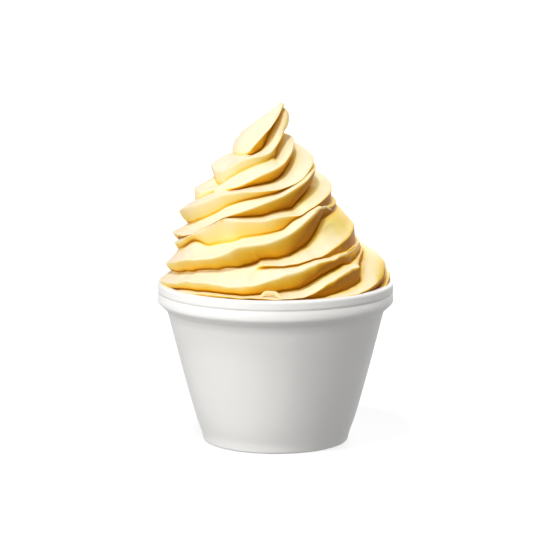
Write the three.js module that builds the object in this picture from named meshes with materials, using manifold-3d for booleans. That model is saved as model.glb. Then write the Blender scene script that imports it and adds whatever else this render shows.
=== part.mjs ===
// Frozen yogurt cup: a tapered foam cup with a heap of soft, star-piped frozen yogurt standing out of it.
// Millimetres, +Z up. The origin is the centre of the cup's foot on the surface that it stands on, -Y is
// the front.

import * as THREE from "three";
import { mergeVertices } from "three/addons/utils/BufferGeometryUtils.js";
import Module from "manifold-3d";

const wasm = await Module();
wasm.setup();

// ---- driving dimensions ----

const CUP = {
  height: 72,
  rimRadius: 52.5,
  footRadius: 32.6,
  footCornerRadius: 1.2,
  creaseRadius: 33.8,
  creaseHeight: 5.4,
  creaseInset: 0.4,
  creaseDrop: 0.8,
  recessRadius: 28.6,
  recessDepth: 1.5,
  recessSlope: 1,
  wallTopRadius: 48.5,
  wallTopHeight: 59.3,
  wallBulge: 0.6,
  wallThickness: 2.8,
  floorThickness: 3.4,
  lipRoll: 1.3,
  lipInnerRadius: 49.4,
  lipInnerDrop: 9,
  beadHeight: 4.1,
  grooveDepth: 0.35,
  grooveWidth: 0.9,
  bandHeight: 9.1,
  bandStep: 0.7,
  bandEdge: 0.5,
};

const FIT_GAP = 0.3;
const CUP_SEGMENTS = 60;
const WALL_STEPS = 5;
const ARC_STEPS = 3;

const SWIRL = {
  tipHeight: 80,
  tipLean: 2.7,
  finsPerTurn: 6,
  azimuthSteps: 60,
  firstRidge: -3,
  tipShrink: 0.6,
  hiddenRidges: 4,
  hiddenDrop: 4.2,
  hiddenReach: 51.5,
  rimMargin: 0.6,
  shortestStep: 0.1,
  leastDrop: 0.3,
  leastReachShare: 0.25,
  fullFoldReach: 16,
};

// The two ways in which the surface goes from one crest to the next: across a groove, between two beads of
// one turn, and down a seam, where a turn lies on the one below. Each is a cubic curve in to the fold's
// floor and one out of it. Their inner points are [across, down], as shares of that curve's width and
// height: first for a sharp crest, then for a round one. Those of the curve in, and the last one of the
// curve out, are measured from the crest that they belong to.
const GROOVE = {
  floor: 0.42,
  tuck: [[0.2, 0.42], [0, 0.42]],
  meet: [0.65, 0.8],
  leave: [[0.22, 0.32], [0.5, 0]],
  arrive: [[0.38, 0.25], [0, 0.55]],
};
const SEAM = {
  floor: 0.76,
  tuck: [[0.12, 0.42], [0.12, 0.42]],
  meet: [0.45, 0.88],
  leave: [[0.4, 0.05], [0.4, 0.05]],
  arrive: [[0.38, 0.05], [0, 0.6]],
};

// Where the two curves are sampled.
const IN_STEPS = [0.45, 1];
const OUT_STEPS = [0.33, 0.62, 0.86];
const ROWS_PER_RIDGE = 1 + IN_STEPS.length + OUT_STEPS.length;
const FILLING_ROW = 1e6;

// The stations of each ridge of the swirl, from the tip down: the bearing in degrees from the left of the
// cup over its front to the right, how high above the lip and how far from the swirl's axis the crest
// passes, how far the fold below it cuts in, how round the crest is, from 0 for a sharp one to 1, and,
// where it isn't the usual one, the share of the drop that lies above the fold's floor. At a roundness of 2
// the surface runs on straight, with no fold.
const RIDGES = [
  [
    [0, 69, 8.6, 0, 2], [45, 72, 7.2, 0, 2], [90, 75.5, 4.8, 0, 2], [105, 77.6, 3, 0, 2],
    [120, 78.6, 2, 0, 2], [180, 79.5, 0.9, 0, 2],
  ],
  [
    [0, 64, 11.4, 0, 2], [45, 67, 10.4, 0, 2], [90, 71.5, 7.6, 0, 2], [105, 75.3, 5, 0, 2],
    [120, 77.5, 2.8, 0, 2], [135, 78.4, 2, 0, 2], [180, 79.2, 1.3, 0, 2],
  ],
  [
    [0, 58.6, 13.4, 0, 1, 0.2], [45, 58.4, 13.2, 0, 1, 0.2], [58, 58.8, 13.2, 0.2, 0.8, 0.3],
    [66, 59.8, 12.8, 3, 0.1, 0.7], [75, 62.3, 12.2, 7, 0, 0.8], [84, 65, 11.4, 7.5, 0, 0.84],
    [91, 67.4, 10.5, 7, 0, 0.84], [98, 70.4, 8.5, 6, 0, 0.84], [105, 73.3, 6.4, 4, 0, 0.84],
    [118, 76.4, 3.6, 1.5, 0, 0.8], [130, 77.6, 2.6, 0.4, 0.3, 0.6], [150, 78.4, 2.2, 0.2, 0.6, 0.3],
    [180, 79, 1.6, 0, 1, 0.3],
  ],
  [
    [0, 51.9, 23, 1.5, 0.3, 0.5], [15, 50.7, 22.4, 1.5, 0.3, 0.7], [30, 50.9, 21.7, 1.2, 0.2, 0.8],
    [45, 53.1, 21, 1, 0.2, 0.55], [60, 56, 20.1, 1, 0.2, 0.45], [75, 57.5, 18.9, 0.7, 0.3],
    [90, 58.3, 17.5, 0.3, 0.5], [105, 59.5, 15.5, 0.6, 0.6], [120, 61.6, 12.6, 3, 0.5, 0.75],
    [135, 64, 11.2, 4.5, 0.4, 0.8], [150, 67.5, 9.8, 4, 0.5, 0.85], [165, 71, 8.4, 3, 0.6, 0.88],
    [180, 73.5, 6.8, 2, 0.6, 0.9],
  ],
  [
    [0, 41.2, 30.4, 0.6, 0.1, 0.55], [14, 41.4, 29.4, 0.6, 0.1, 0.5], [26, 42.6, 26.4, 0.5, 0.6, 0.3],
    [34, 43.4, 24.8, 0.3, 1.2, 0.25], [45, 43.8, 24, 0.3, 1.2, 0.3], [54, 44.4, 23.6, 1, 0.1, 0.6],
    [62, 45.4, 23.2, 3, 0], [75, 47.8, 22.5, 4.5, 0], [90, 50.6, 21.5, 5, 0], [105, 52.6, 20, 5, 0],
    [120, 54.6, 18.1, 5, 0], [135, 57.3, 16.5, 5, 0.1], [150, 59.5, 15.6, 4, 0.3],
    [180, 64, 13.7, 3, 0.6], [205, 66, 9.5, 2, 0.8],
  ],
  [
    [0, 31.7, 37.7, 4, 0.3, 0.6], [15, 34.2, 35.9, 3.2, 0.1, 0.6], [30, 37.1, 34.1, 2.6, 0, 0.54],
    [45, 40.2, 32.5, 2, 0, 0.57], [60, 43, 30.9, 1.5, 0, 0.54], [75, 44, 29.4, 1.5, 0.1, 0.51],
    [90, 44.4, 28, 1.8, 0.2, 0.54], [105, 44.9, 26.9, 2.5, 0.5, 0.6], [120, 45.8, 26, 4, 0.7],
    [135, 48.1, 25, 4.5, 0.8], [150, 51.5, 24, 5, 0.9], [180, 56.5, 21.6, 5, 0.9],
  ],
  [
    [0, 21.8, 40.7, 3, 0], [15, 22.4, 39.1, 1.2, 0, 0.5], [30, 23.6, 37.6, 0.1, 0, 0.5],
    [45, 27.9, 36, 0.1, 0, 0.5], [52, 30.2, 35.3, 0.1, 0, 0.5], [60, 32.8, 34.5, 0.2, 0, 0.5],
    [67, 34.6, 33.7, 2, 0, 0.7], [75, 36.1, 33, 4, 0, 0.8], [90, 39.1, 31.5, 5, 0, 0.84],
    [105, 42.3, 30, 5, 0, 0.85], [120, 45.5, 28.5, 5, 0, 0.85], [135, 48, 27, 5, 0.1],
    [150, 50.3, 25.4, 4.5, 0.3], [180, 52.5, 22.8, 4, 0.6],
  ],
  [
    [0, 16.8, 41, 0.3, 0.8, 0.3], [15, 19.2, 39, 1, 0.3, 0.3], [30, 23, 37.5, 2, 0, 0.25],
    [45, 27.4, 35.9, 2.2, 0, 0.62], [60, 32.2, 34.5, 2.2, 0, 0.7], [75, 32.1, 34.1, 2, 0, 0.78],
    [90, 32.4, 33.5, 1.8, 0.1, 0.74], [105, 33.6, 33.4, 1.6, 0.2, 0.84],
    [118, 33.8, 33.4, 0.8, 0.4, 0.4], [128, 36, 33, 0.4, 0.7], [138, 37.9, 32.4, 0.4, 0.3, 0.7],
    [150, 39.6, 31.5, 0.5, 0.1, 0.8], [180, 43.5, 30.2, 0.5, 0.2, 0.8],
  ],
  [
    [0, 7.9, 48.4, 0.2, 0.1, 0.92], [15, 10.1, 47.2, 0.1, 0.1, 0.92], [30, 13, 45.7, 0.1, 0, 0.94],
    [45, 14.9, 44.5, 0.1, 0, 0.95], [53, 15.9, 43.9, 0.2, 0, 0.95], [60, 17.2, 43.3, 0.5, 0, 0.9],
    [67, 19.2, 42.6, 2, 0, 0.93], [75, 21.7, 41.9, 5, 0, 0.91], [90, 23.4, 40.5, 6.5, 0, 0.86],
    [105, 26.3, 38.6, 5, 0, 0.84], [115, 29.4, 37, 5, 0, 0.82], [122, 32, 36.4, 5, 0, 0.8],
    [131, 35, 35.5, 4.5, 0.1, 0.7], [138, 36.4, 34.2, 3, 0.3, 0.5], [145, 35, 32.6, 2, 0.6, 0.3],
    [160, 35, 32.4, 0.6, 0.8, 0.2], [180, 36, 32, 0.6, 0.8, 0.2],
  ],
  [
    [0, 4.4, 46, 0, 2], [15, 5.4, 44.6, 0, 2], [30, 7.4, 42.8, 0, 2], [45, 9.6, 41.2, 0, 2],
    [60, 10.9, 40, 0, 2], [74, 11.6, 39, 0, 2], [81, 12.8, 39.2, 0.1, 1, 0.2],
    [86, 14, 43.4, 1.2, 0, 0.25], [95, 14, 43.6, 1, 0.2, 0.25], [105, 14.6, 43.2, 1, 0.4],
    [120, 16.2, 42.6, 1, 0.3, 0.5], [135, 18.9, 42, 0.6, 0.1, 0.9], [150, 22, 41.3, 0.3, 0.1, 0.97],
    [165, 24.2, 40.7, 0.2, 0.1, 0.97], [180, 25.6, 39.9, 0.2, 0.2, 0.95],
  ],
  [
    [0, 0.4, 52, 1, 0.2], [15, 1.9, 51.4, 2, 0.1], [30, 3.4, 50.4, 2.5, 0], [42, 5.5, 49.6, 3, 0, 0.9],
    [52, 5.7, 49.1, 3.4, 0, 0.97], [65, 5.1, 48.4, 3.2, 0, 1], [75, 5.5, 47.9, 3.2, 0, 0.97],
    [90, 8.9, 47, 4.8, 0, 0.8], [105, 12, 46.1, 5.2, 0, 0.78], [120, 14.7, 45.1, 5.2, 0, 0.8],
    [135, 15.8, 44, 4.2, 0, 0.8], [142, 16.3, 43, 2, 0.1, 0.8], [150, 17, 41.4, 0.5, 0.3, 0.8],
    [157, 17.3, 41.4, 0.3, 0.5, 0.9], [165, 17.6, 41.4, 0.3, 0.5, 0.9],
    [180, 18.4, 41.3, 0.3, 0.5, 0.9],
  ],
  [
    [0, -5.3, 50.5, 3, 0.3], [30, -0.9, 50.3, 2, 0.3], [45, 0.7, 50.3, 2, 0.3], [60, 1.1, 50.3, 2, 0.3],
    [90, 0.6, 50.3, 2, 0.3], [104, 0.8, 49.6, 2.5, 0.2], [112, 3.4, 48.6, 2.5, 0.2, 0.8],
    [120, 6.2, 47.9, 2.5, 0.2, 0.88], [135, 9.9, 46.2, 2.2, 0.2, 0.85],
    [147, 10.6, 44.8, 1.5, 0.2, 0.8], [152, 11, 42.4, 0.5, 0.5, 0.6], [158, 12.6, 41.5, 0.2, 0.8, 0.3],
    [167, 14.2, 41.5, 0.2, 0.8, 0.2], [180, 15.4, 41.3, 0.2, 0.8, 0.15],
  ],
  [
    [0, -9, 50.5, 2, 0.5], [45, -4.2, 50.5, 2, 0.5], [90, -1.8, 51, 2, 0.5], [120, -0.6, 50.8, 2, 0.5],
    [135, 0.4, 50.7, 3, 0.5], [150, 2, 50.4, 3, 0.6], [165, 4.4, 50, 3, 0.7], [180, 7, 49.6, 3, 0.8],
  ],
];

// How far the swirl's axis stands to the right of the cup's axis, by height above the lip.
const AXIS_LEAN = [
  [-30, 0],
  [0, 0],
  [8, -0.6],
  [14, -2.5],
  [20, -4.8],
  [57, -5.6],
  [61, -6.1],
  [66, -5.2],
  [73, -1.2],
  [80, 2.7],
];

const COLOURS = { foam: 0xeceae4, yogurt: 0xf6dfa6 };

// ---- helpers ----

function solidFrom(geometry) {
  geometry.deleteAttribute("normal");
  geometry.deleteAttribute("uv");
  const merged = mergeVertices(geometry, 1e-4);
  return new wasm.Manifold(
    new wasm.Mesh({
      numProp: 3,
      vertProperties: new Float32Array(merged.attributes.position.array),
      triVerts: new Uint32Array(merged.index.array),
    }),
  );
}

function geometryFrom(solid) {
  const mesh = solid.getMesh();
  const geometry = new THREE.BufferGeometry();
  geometry.setAttribute("position", new THREE.BufferAttribute(mesh.vertProperties, 3));
  geometry.setIndex(new THREE.BufferAttribute(mesh.triVerts, 1));
  geometry.computeVertexNormals();
  return geometry;
}

// Turns a closed outline of [radius, height] points round the Z axis.
function latheSolid(outline, segments) {
  const points = [...outline, outline[0]].map(([radius, height]) => new THREE.Vector2(radius, height));
  const geometry = new THREE.LatheGeometry(points, segments);
  geometry.rotateX(Math.PI / 2);
  return solidFrom(geometry);
}

function arc(centre, radius, startDegrees, endDegrees) {
  const points = [];
  for (let step = 0; step <= ARC_STEPS; step += 1) {
    const angle = THREE.MathUtils.degToRad(
      THREE.MathUtils.lerp(startDegrees, endDegrees, step / ARC_STEPS),
    );
    points.push([centre[0] + radius * Math.cos(angle), centre[1] + radius * Math.sin(angle)]);
  }
  return points;
}

// A smooth curve through [x, y] knots that never overshoots them (a monotone cubic).
function through(knots, x) {
  const last = knots.length - 1;
  const at = THREE.MathUtils.clamp(x, knots[0][0], knots[last][0]);
  let i = 0;
  while (i < last - 1 && at > knots[i + 1][0]) {
    i += 1;
  }
  const slope = (a) => (knots[a + 1][1] - knots[a][1]) / (knots[a + 1][0] - knots[a][0]);
  const tangent = (a) => {
    if (a === 0) {
      return slope(0);
    }
    if (a === last) {
      return slope(last - 1);
    }
    const before = slope(a - 1);
    const after = slope(a);
    return before * after > 0 ? (2 * before * after) / (before + after) : 0;
  };
  const width = knots[i + 1][0] - knots[i][0];
  const t = (at - knots[i][0]) / width;
  return (
    (2 * t ** 3 - 3 * t ** 2 + 1) * knots[i][1] +
    (t ** 3 - 2 * t ** 2 + t) * width * tangent(i) +
    (3 * t ** 2 - 2 * t ** 3) * knots[i + 1][1] +
    (t ** 3 - t ** 2) * width * tangent(i + 1)
  );
}

// ---- the cup ----

function wallRadius(height) {
  const share = (height - CUP.creaseHeight) / (CUP.wallTopHeight - CUP.creaseHeight);
  const straight = THREE.MathUtils.lerp(CUP.creaseRadius, CUP.wallTopRadius, share);
  return straight + CUP.wallBulge * Math.sin(Math.PI * THREE.MathUtils.clamp(share, 0, 1));
}

function innerOutline(gap) {
  const floor = CUP.recessDepth + CUP.floorThickness;
  const points = [[wallRadius(floor) - CUP.wallThickness - gap, floor]];
  const top = CUP.height - CUP.lipInnerDrop;
  for (let step = 1; step <= WALL_STEPS; step += 1) {
    const height = THREE.MathUtils.lerp(floor, top, step / WALL_STEPS);
    points.push([wallRadius(Math.min(height, CUP.wallTopHeight)) - CUP.wallThickness - gap, height]);
  }
  points.push([CUP.lipInnerRadius - gap, CUP.height - CUP.lipRoll]);
  return points;
}

function cupSolid() {
  const rim = CUP.rimRadius;
  const beadFoot = CUP.height - CUP.beadHeight;
  const outside = [
    [CUP.recessRadius, 0],
    ...arc([CUP.footRadius - CUP.footCornerRadius, CUP.footCornerRadius], CUP.footCornerRadius, -90, 0),
    [CUP.creaseRadius - CUP.creaseInset, CUP.creaseHeight - CUP.creaseDrop],
  ];
  for (let step = 0; step <= WALL_STEPS; step += 1) {
    const height = THREE.MathUtils.lerp(CUP.creaseHeight, CUP.wallTopHeight, step / WALL_STEPS);
    outside.push([wallRadius(height), height]);
  }
  outside.push(
    [rim - CUP.bandStep, CUP.height - CUP.bandHeight - CUP.bandEdge],
    [rim, CUP.height - CUP.bandHeight + CUP.bandEdge],
    [rim, beadFoot - CUP.grooveWidth],
    [rim - CUP.grooveDepth, beadFoot - CUP.grooveWidth / 2],
    [rim, beadFoot],
    ...arc([rim - CUP.lipRoll, CUP.height - CUP.lipRoll], CUP.lipRoll, 0, 90),
    [CUP.lipInnerRadius + CUP.lipRoll, CUP.height],
  );
  const inside = innerOutline(0).reverse();
  const under = [
    [0, CUP.recessDepth + CUP.floorThickness],
    [0, CUP.recessDepth],
    [CUP.recessRadius - CUP.recessSlope, CUP.recessDepth],
  ];
  return latheSolid([...outside, ...inside, ...under], CUP_SEGMENTS);
}

// ---- the frozen yogurt ----

// The sizes of a ridge at each of its stations. Above the listed ridges each is a scaled copy that closes
// in on the tip, and below them they go on into the cup.
function ridgeStations(ridge) {
  const last = RIDGES.length - 1;
  const usual = wayBelow(ridge).floor;
  const listed = RIDGES[THREE.MathUtils.clamp(ridge, 0, last)];
  return listed.map(([bearing, height, reach, fold, round, share = usual]) => {
    if (ridge < 0) {
      const scale = SWIRL.tipShrink ** -ridge;
      const scaled = THREE.MathUtils.lerp(SWIRL.tipHeight, height, scale);
      return { bearing, height: scaled, reach: reach * scale, fold: 0, round: 2, share: usual };
    }
    if (ridge > last) {
      const hidden = height - (ridge - last) * SWIRL.hiddenDrop;
      return { bearing, height: hidden, reach: SWIRL.hiddenReach, fold: 0, round: 1, share: usual };
    }
    return { bearing, height, reach, fold, round, share };
  });
}

function modulo(number, base) {
  return ((number % base) + base) % base;
}

function wayBelow(ridge) {
  return modulo(ridge, 2) === 0 ? SEAM : GROOVE;
}

// The nozzle's fins wind upwards without a break, so a ridge that leaves at the back on the right comes
// round to the left as the ridge six places higher. Each strand lists the knots of one fin against its
// unwound angle in degrees.
function finStrands() {
  const strands = [];
  const lastRidge = RIDGES.length + SWIRL.hiddenRidges;
  for (let fin = 0; fin < SWIRL.finsPerTurn; fin += 1) {
    const own = { height: [], reach: [], fold: [], round: [], share: [] };
    for (let ridge = lastRidge; ridge >= SWIRL.firstRidge; ridge -= 1) {
      if (modulo(ridge, SWIRL.finsPerTurn) === fin) {
        for (const station of ridgeStations(ridge)) {
          const angle = station.bearing - 360 * Math.floor(ridge / SWIRL.finsPerTurn);
          for (const size of Object.keys(own)) {
            own[size].push([angle, station[size]]);
          }
        }
      }
    }
    strands.push(own);
  }
  return strands;
}

function crestOf(strands, ridge, azimuth) {
  const fins = SWIRL.finsPerTurn;
  const angle = azimuth - 360 * Math.floor(ridge / fins);
  const strand = strands[modulo(ridge, fins)];
  return {
    height: through(strand.height, angle),
    reach: through(strand.reach, angle),
    fold: through(strand.fold, angle),
    round: through(strand.round, angle),
    share: through(strand.share, angle),
  };
}

function bezier(a, b, c, d, t) {
  return (1 - t) ** 3 * a + 3 * (1 - t) ** 2 * t * b + 3 * (1 - t) * t ** 2 * c + t ** 3 * d;
}

// A point at a share of the way along the cubic curve between two [reach, height] points. Its inner points
// are given as [across, down] from the start and [across, up] from the end.
function curvePoint(start, end, afterStart, beforeEnd, t) {
  return start.map((from, axis) => {
    const to = end[axis];
    const size = to - from;
    return bezier(from, from + afterStart[axis] * size, to - beforeEnd[axis] * size, to, t);
  });
}

function blend([sharp, round], roundness) {
  return sharp.map((share, axis) => THREE.MathUtils.lerp(share, round[axis], roundness));
}

// The run of the surface from one crest down to the next: in to the fold's floor, then out along the next
// ridge's back.
function profileBetween(upper, lower, way) {
  const drop = Math.max(upper.height - lower.height, SWIRL.leastDrop);
  const nearer = Math.min(upper.reach, lower.reach);
  const fold = upper.fold * Math.min(nearer / SWIRL.fullFoldReach, 1);
  const valley = [
    Math.max(nearer - fold, SWIRL.leastReachShare * nearer),
    upper.height - upper.share * drop,
  ];
  const from = [upper.reach, upper.height];
  const to = [lower.reach, lower.height];
  const straight = THREE.MathUtils.clamp(upper.round - 1, 0, 1);
  const tuck = blend(way.tuck, Math.min(upper.round, 1));
  const meet = way.meet.map((share) => 1 - share);
  const leave = blend(way.leave, Math.min(lower.round, 1));
  const arrive = blend(way.arrive, Math.min(lower.round, 1));
  const eased = (folded, share) =>
    folded.map((value, axis) =>
      THREE.MathUtils.lerp(value, THREE.MathUtils.lerp(from[axis], to[axis], share), straight),
    );
  return [
    from,
    ...IN_STEPS.map((t) => eased(curvePoint(from, valley, tuck, meet, t), t / 2)),
    ...OUT_STEPS.map((t) => eased(curvePoint(valley, to, leave, arrive, t), (1 + t) / 2)),
  ];
}

function swirlPoint(reach, height, azimuth) {
  const angle = THREE.MathUtils.degToRad(180 + azimuth);
  const lean = through(AXIS_LEAN, height);
  const radius = Math.min(reach, CUP.rimRadius - SWIRL.rimMargin - Math.abs(lean));
  return [lean + radius * Math.cos(angle), radius * Math.sin(angle), CUP.height + height];
}

// The swirl's run down one azimuth, as { row, reach, height } from the tip to the level of the lip, where
// it is cut. Rows are numbered along the ridges, so that a crest keeps its row number from one azimuth to
// the next.
function swirlRun(strands, startRidge, azimuth) {
  const run = [];
  for (let ridge = startRidge; ; ridge += 1) {
    const upper = crestOf(strands, ridge, azimuth);
    const lower = crestOf(strands, ridge + 1, azimuth);
    const profile = profileBetween(upper, lower, wayBelow(ridge));
    for (const [step, [reach, height]] of profile.entries()) {
      const row = ridge * profile.length + step;
      const before = run[run.length - 1];
      if (height > FIT_GAP + SWIRL.shortestStep) {
        run.push({ row, reach, height });
      } else {
        const share = (before.height - FIT_GAP) / (before.height - height);
        const cutReach = THREE.MathUtils.lerp(before.reach, reach, share);
        run.push({ row: THREE.MathUtils.lerp(before.row, row, share), reach: cutReach, height: FIT_GAP });
        return run;
      }
    }
  }
}

// Fills the strip between two columns of { row, id }, matching them by their row numbers.
function fillStrip(triangles, left, right) {
  let a = 0;
  let b = 0;
  while (a < left.length - 1 || b < right.length - 1) {
    const leftRow = a < left.length - 1 ? left[a + 1].row : Infinity;
    const rightRow = b < right.length - 1 ? right[b + 1].row : Infinity;
    if (leftRow <= rightRow) {
      triangles.push([left[a].id, left[a + 1].id, right[b].id]);
      a += 1;
    } else {
      triangles.push([left[a].id, right[b + 1].id, right[b].id]);
      b += 1;
    }
  }
}

// One closed surface: the swirl down to the lip, a flat step in over the lip, and the filling down the
// cup's wall.
function yogurtSolid() {
  const strands = finStrands();
  const steps = SWIRL.azimuthSteps;
  const wall = innerOutline(FIT_GAP).reverse();
  const floor = wall[wall.length - 1][1] + FIT_GAP;
  wall[wall.length - 1][1] = floor;
  const filling = [[wall[0][0], CUP.height + FIT_GAP], ...wall];
  const positions = [SWIRL.tipLean, 0, CUP.height + SWIRL.tipHeight, 0, 0, floor];
  const add = (x, y, z) => positions.push(x, y, z) / 3 - 1;
  const columns = [];
  for (let column = 0; column < steps; column += 1) {
    const azimuth = (360 * column) / steps;
    const angle = THREE.MathUtils.degToRad(180 + azimuth);
    const startRidge = SWIRL.firstRidge + Math.ceil((SWIRL.finsPerTurn * column) / steps);
    const run = swirlRun(strands, startRidge, azimuth);
    columns.push([
      { row: -Infinity, id: 0 },
      ...run.map(({ row, reach, height }) => ({ row, id: add(...swirlPoint(reach, height, azimuth)) })),
      ...filling.map(([radius, z], step) => ({
        row: FILLING_ROW + step,
        id: add(radius * Math.cos(angle), radius * Math.sin(angle), z),
      })),
      { row: 2 * FILLING_ROW, id: 1 },
    ]);
  }
  const perTurn = SWIRL.finsPerTurn * ROWS_PER_RIDGE;
  const turned = ({ row, id }) => ({ row: row < FILLING_ROW ? row + perTurn : row, id });
  const triangles = [];
  for (const [column, left] of columns.entries()) {
    const right = column < steps - 1 ? columns[column + 1] : columns[0].map(turned);
    fillStrip(triangles, left, right);
  }
  const geometry = new THREE.BufferGeometry();
  geometry.setAttribute("position", new THREE.Float32BufferAttribute(positions, 3));
  geometry.setIndex(triangles.filter(([a, b, c]) => a !== b && b !== c && c !== a).flat());
  return solidFrom(geometry);
}

// ---- the part ----

function piece(name, solid, colour, roughness) {
  const material = new THREE.MeshStandardMaterial({ color: colour, roughness, metalness: 0 });
  const mesh = new THREE.Mesh(geometryFrom(solid), material);
  mesh.name = name;
  return mesh;
}

const part = new THREE.Group();
part.add(piece("cup", cupSolid(), COLOURS.foam, 0.55));
part.add(piece("frozen_yogurt", yogurtSolid(), COLOURS.yogurt, 0.45));

export default part;
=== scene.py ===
"""Frozen yogurt heaped in a white foam cup: the looks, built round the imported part."""

import itertools  # noqa: E402
import logging  # noqa: E402
import math  # noqa: E402
from dataclasses import dataclass, field, replace  # noqa: E402
from enum import Enum  # noqa: E402
from typing import Any, Union  # noqa: E402

import bmesh  # noqa: E402
import bpy  # noqa: E402
import numpy as np  # noqa: E402
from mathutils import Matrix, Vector  # noqa: E402


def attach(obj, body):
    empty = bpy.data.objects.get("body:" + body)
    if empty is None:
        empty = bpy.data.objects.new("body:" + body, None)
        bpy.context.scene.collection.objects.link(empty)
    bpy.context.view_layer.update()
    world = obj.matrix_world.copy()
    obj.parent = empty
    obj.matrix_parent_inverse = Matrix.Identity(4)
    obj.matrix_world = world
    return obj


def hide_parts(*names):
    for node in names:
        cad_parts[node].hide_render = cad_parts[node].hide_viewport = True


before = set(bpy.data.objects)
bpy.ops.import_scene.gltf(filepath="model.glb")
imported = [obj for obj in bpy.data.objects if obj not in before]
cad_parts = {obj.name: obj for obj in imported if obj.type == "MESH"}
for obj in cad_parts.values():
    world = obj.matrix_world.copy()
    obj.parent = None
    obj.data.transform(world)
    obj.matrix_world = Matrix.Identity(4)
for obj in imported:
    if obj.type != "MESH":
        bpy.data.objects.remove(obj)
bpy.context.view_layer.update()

LOG = logging.getLogger("frozen_yogurt_cup")
MM = 0.001
GOLDEN_ANGLE = math.pi * (3 - math.sqrt(5))
BODY = "root"
Colour = tuple[float, float, float]
Point = tuple[float, float]
Value = Union["Wire", float, tuple]


class Wire:
    """One output socket of a node, on which maths can be written."""

    def __init__(self, graph: "Graph", socket: bpy.types.NodeSocket) -> None:
        """Keeps the socket and the graph that it belongs to."""
        self.graph, self.socket = graph, socket

    def other(self, name: str) -> "Wire":
        """Another output of the same node, by its name."""
        return Wire(self.graph, self.socket.node.outputs[name])

    def __add__(self, term: Value) -> "Wire":
        """This value plus a term."""
        return self.graph.maths("ADD", self, term)

    def __sub__(self, term: Value) -> "Wire":
        """This value less a term."""
        return self.graph.maths("SUBTRACT", self, term)

    def __rsub__(self, term: Value) -> "Wire":
        """A term less this value."""
        return self.graph.maths("SUBTRACT", term, self)

    def __mul__(self, term: Value) -> "Wire":
        """This value times a term."""
        return self.graph.maths("MULTIPLY", self, term)

    def __truediv__(self, term: Value) -> "Wire":
        """This value divided by a term."""
        return self.graph.maths("DIVIDE", self, term)

    __radd__ = __add__
    __rmul__ = __mul__

    def at_most(self, term: Value) -> "Wire":
        """The lower of this value and a term."""
        return self.graph.maths("MINIMUM", self, term)

    def at_least(self, term: Value) -> "Wire":
        """The higher of this value and a term."""
        return self.graph.maths("MAXIMUM", self, term)


class Graph:
    """A node tree, of a material or of geometry, that is written as expressions."""

    def __init__(self, tree: bpy.types.NodeTree) -> None:
        """Starts with an empty tree."""
        self.tree = tree
        tree.nodes.clear()

    def add(
        self,
        kind: str,
        settings: dict[str, Any] | None = None,
        inputs: dict[Any, Value] | None = None,
        output: Any = 0,
    ) -> Wire:
        """Adds one node.

        Args:
            kind: The node's type.
            settings: Its properties, which are set first.
            inputs: Values or wires, by the input's name or number.
            output: The name or number of the output that is handed back.

        Returns:
            That output, or the node's first input's wire where it has no output.
        """
        node = self.tree.nodes.new(kind)
        for name, setting in (settings or {}).items():
            setattr(node, name, setting)
        for name, value in (inputs or {}).items():
            if isinstance(value, Wire):
                self.tree.links.new(value.socket, node.inputs[name])
            else:
                node.inputs[name].default_value = value
        return Wire(self, node.outputs[output] if len(node.outputs) else node.inputs[0])

    def maths(self, operation: str, *terms: Value) -> Wire:
        """Adds a Math node on two terms."""
        return self.add("ShaderNodeMath", {"operation": operation}, dict(enumerate(terms)))

    def blend(self, share: Value, first: Value, second: Value) -> Wire:
        """Mixes two colours, the second by a share."""
        settings = {"data_type": "RGBA"}
        return self.add("ShaderNodeMix", settings, {0: share, 6: first, 7: second}, 2)

    def ramp(self, value: Value, stops: tuple[tuple[float, Colour], ...]) -> Wire:
        """The colour of a value, by the colours at its stops."""
        colour = self.add("ShaderNodeValToRGB", inputs={"Fac": value})
        marks = colour.socket.node.color_ramp.elements
        while len(marks) < len(stops):
            marks.new(1.0)
        for mark, (place, tint) in zip(marks, stops):
            mark.position, mark.color = place, (*tint, 1)
        return colour

    def arrow(self, operation: str, first: Value, second: Value, output: Any = 0) -> Wire:
        """Adds a Vector Math node on two vectors, or on a vector and its scale."""
        slot = "Scale" if operation == "SCALE" else 1
        settings = {"operation": operation}
        return self.add("ShaderNodeVectorMath", settings, {0: first, slot: second}, output)

    def vector(self, x: Value, y: Value, z: Value) -> Wire:
        """A vector of three values."""
        return self.add("ShaderNodeCombineXYZ", inputs={"X": x, "Y": y, "Z": z})

    def noise(self, place: Value, scale: Value, detail: float = 2.0) -> Wire:
        """Noise from 0 to 1 at a place, in Object coordinates or along a surface."""
        return self.add(
            "ShaderNodeTexNoise", inputs={"Vector": place, "Scale": scale, "Detail": detail}
        )

    def spread(self, value: Value, low: float, high: float, first: float, last: float) -> Wire:
        """Takes a value from one range smoothly to another, and holds it at the ends."""
        return self.add(
            "ShaderNodeMapRange",
            {"interpolation_type": "SMOOTHSTEP"},
            {"Value": value, "From Min": low, "From Max": high, "To Min": first, "To Max": last},
        )


def blended(first: Value, second: Value, share: Value) -> Value:
    """The value at a share of the way from the first to the second."""
    return first + (second - first) * share


def bent(first: Value, second: Value, third: Value, fourth: Value, share: Value) -> Value:
    """A point on the cubic curve that four values steer.

    Args:
        first: The start.
        second: What the curve leaves towards.
        third: What the curve arrives from.
        fourth: The end.
        share: How far along, from 0 to 1.

    Returns:
        The value there.
    """
    rest = 1 - share
    return (
        rest * rest * rest * first
        + 3 * rest * rest * share * second
        + 3 * rest * share * share * third
        + share * share * share * fourth
    )


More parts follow.
